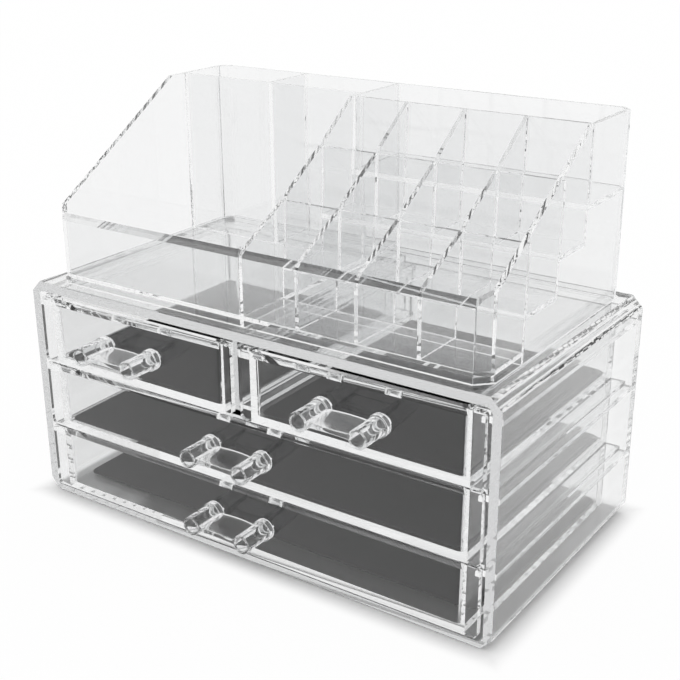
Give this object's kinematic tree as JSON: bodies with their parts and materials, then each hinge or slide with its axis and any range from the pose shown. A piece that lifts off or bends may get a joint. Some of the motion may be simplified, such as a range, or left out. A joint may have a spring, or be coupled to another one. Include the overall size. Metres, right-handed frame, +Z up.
{
  "type": "cosmetics drawer organizer",
  "caption": "Clear plastic cosmetics organizer: a case of drawers that hang on side rails, with a lift-off tray of stepped compartments standing on top.",
  "frame": {"origin": "centre of the case's base, on the surface it stands on", "axes": "+X across the front to the right as seen from the front, +Y from the open front to the closed back, +Z up"},
  "size_m": [0.238, 0.1465, 0.1853],
  "materials": {
    "case_clear": "clear polished acrylic",
    "tray_clear": "clear polished acrylic",
    "drawer_clear": "clear polished acrylic",
    "handle_clear": "clear polished acrylic",
    "pad_black": "thin black felt-like liner"
  },
  "bodies": {
    "case": {"case_shell": "case_clear", "centre_divider": "case_clear"},
    "tray": {"stepped_tray": "tray_clear"},
    "top_left_drawer": {"top_left_drawer": "drawer_clear", "top_left_handle": "handle_clear", "top_left_pad": "pad_black"},
    "top_right_drawer": {"top_right_drawer": "drawer_clear", "top_right_handle": "handle_clear", "top_right_pad": "pad_black"},
    "middle_drawer": {"middle_drawer": "drawer_clear", "middle_handle": "handle_clear", "middle_pad": "pad_black"},
    "bottom_drawer": {"bottom_drawer": "drawer_clear", "bottom_handle": "handle_clear", "bottom_pad": "pad_black"}
  },
  "joints": [
    {"name": "top_left_slide", "type": "slide", "parent": "case", "child": "top_left_drawer", "axis": [0, -1, 0], "range_m": [0, 0.09]},
    {"name": "top_right_slide", "type": "slide", "parent": "case", "child": "top_right_drawer", "axis": [0, -1, 0], "range_m": [0, 0.09]},
    {"name": "middle_slide", "type": "slide", "parent": "case", "child": "middle_drawer", "axis": [0, -1, 0], "range_m": [0, 0.09]},
    {"name": "bottom_slide", "type": "slide", "parent": "case", "child": "bottom_drawer", "axis": [0, -1, 0], "range_m": [0, 0.09]},
    {"name": "tray_lift", "type": "slide", "parent": "case", "child": "tray", "axis": [0, 0, 1], "range_m": [0, 0.06]}
  ]
}
